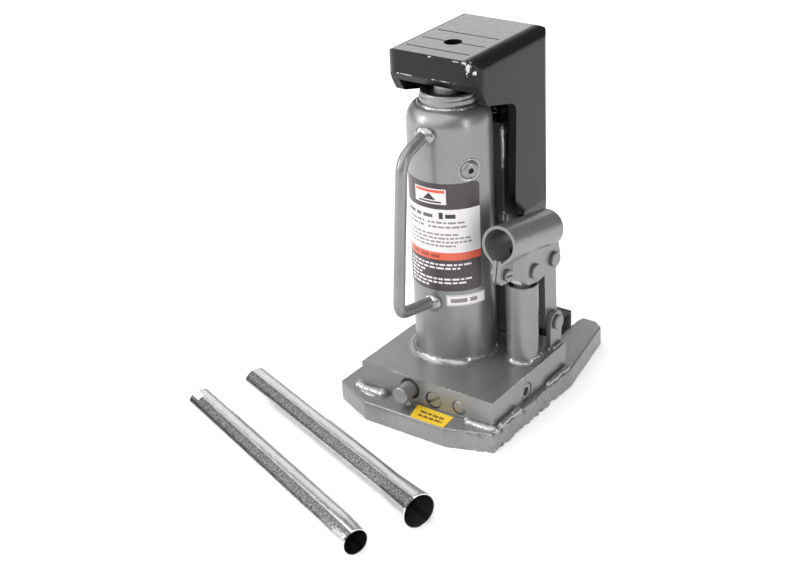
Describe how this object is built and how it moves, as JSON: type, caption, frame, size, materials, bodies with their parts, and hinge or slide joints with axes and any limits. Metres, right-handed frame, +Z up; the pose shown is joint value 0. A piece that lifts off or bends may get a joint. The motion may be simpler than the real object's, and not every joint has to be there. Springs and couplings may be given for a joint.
{
  "type": "hydraulic toe jack",
  "caption": "Hydraulic bottle jack on a flat forked base, with a sliding lifting frame, a low toe behind it, a lever pump and a loose two-piece tubular handle.",
  "frame": {"origin": "on the ram's axis, at the underside of the base plate", "axes": "+Z up along the ram, +Y towards the lifting toe, +X towards the pump"},
  "size_m": [0.2136, 0.3171, 0.254],
  "materials": {
    "grey_paint": "silver-grey gloss paint over steel",
    "black_paint": "black gloss paint over steel",
    "bare_steel": "bright turned steel",
    "zinc_plate": "bright zinc plate with dark mottling",
    "spring_steel": "dark oiled spring steel",
    "rubber": "black seal rubber",
    "label_film": "printed film",
    "tag_film": "yellow printed film"
  },
  "bodies": {
    "jack_base": {"base_plate": "grey_paint", "pump_block": "grey_paint", "reservoir_tank": "grey_paint", "filler_plug": "grey_paint", "top_nut": "grey_paint", "wiper_ring": "rubber", "pressure_cylinder": "bare_steel", "carry_handle": "grey_paint", "guide_rail": "grey_paint", "guide_plate": "grey_paint", "spring_foot": "bare_steel", "pump_cylinder": "grey_paint", "pump_gland": "rubber", "link_bracket_outer": "grey_paint", "link_bracket_inner": "grey_paint", "bracket_pin": "grey_paint", "bracket_pin_clip": "spring_steel", "safety_valve_screw": "grey_paint", "safety_valve_spring": "spring_steel", "safety_valve_ball": "bare_steel", "release_valve_ball": "bare_steel", "release_valve_seal": "rubber", "gallery_plug": "grey_paint", "outlet_plug": "grey_paint", "outlet_check_ball": "bare_steel", "outlet_check_spring": "spring_steel", "tank_label": "label_film", "part_label": "label_film", "valve_tag": "tag_film"},
    "lifting_frame": {"lift_frame": "black_paint", "lift_toe": "black_paint", "guide_keeper_right": "black_paint", "guide_keeper_left": "black_paint", "spring_hanger": "black_paint", "return_spring_right": "spring_steel", "return_spring_left": "spring_steel", "ram": "bare_steel", "ram_collar": "black_paint", "ram_piston": "bare_steel", "piston_cup": "rubber", "piston_nut": "bare_steel"},
    "release_screw": {"release_valve": "grey_paint", "release_valve_lug": "grey_paint"},
    "pump_link": {"pump_link": "grey_paint"},
    "pump_lever": {"handle_socket": "grey_paint", "link_pin": "grey_paint", "link_pin_clip": "spring_steel", "plunger_pin": "grey_paint", "plunger_pin_clip": "spring_steel", "clamp_screw": "grey_paint", "clamp_nut": "grey_paint"},
    "pump_plunger": {"plunger": "bare_steel", "plunger_cup": "rubber"},
    "lower_handle": {"handle_lower": "zinc_plate"},
    "upper_handle": {"handle_upper": "zinc_plate"}
  },
  "joints": [
    {"name": "ram_lift", "type": "slide", "parent": "jack_base", "child": "lifting_frame", "axis": [0, 0, 1], "range_m": [0, 0.133], "deforming": ["return_spring_right", "return_spring_left"]},
    {"name": "release_turn", "type": "hinge", "parent": "jack_base", "child": "release_screw", "pos_m": [-0.002, -0.06, 0.0254], "axis": [0, -1, 0], "range_deg": [0, 360]},
    {"name": "link_swing", "type": "hinge", "parent": "jack_base", "child": "pump_link", "pos_m": [0.0498, 0.0345, 0.053], "axis": [1, 0, 0], "range_deg": [0, 9]},
    {"name": "lever_swing", "type": "hinge", "parent": "pump_link", "child": "pump_lever", "pos_m": [0.0498, 0.033, 0.102], "axis": [-1, 0, 0], "range_deg": [0, 50.6]},
    {"name": "plunger_slide", "type": "slide", "parent": "jack_base", "child": "pump_plunger", "axis": [0, 0, 1], "range_m": [0, 0.017]},
    {"name": "lower_handle_lift", "type": "slide", "parent": "jack_base", "child": "lower_handle", "axis": [0, 0, 1], "range_m": [0, 0.15]},
    {"name": "upper_handle_lift", "type": "slide", "parent": "jack_base", "child": "upper_handle", "axis": [0, 0, 1], "range_m": [0, 0.15]}
  ],
  "couplings": [
    {"joint": "link_swing", "follows": "lever_swing", "ratio": 0.15206},
    {"joint": "plunger_slide", "follows": "lever_swing", "m_per_rad": 0.018613}
  ]
}
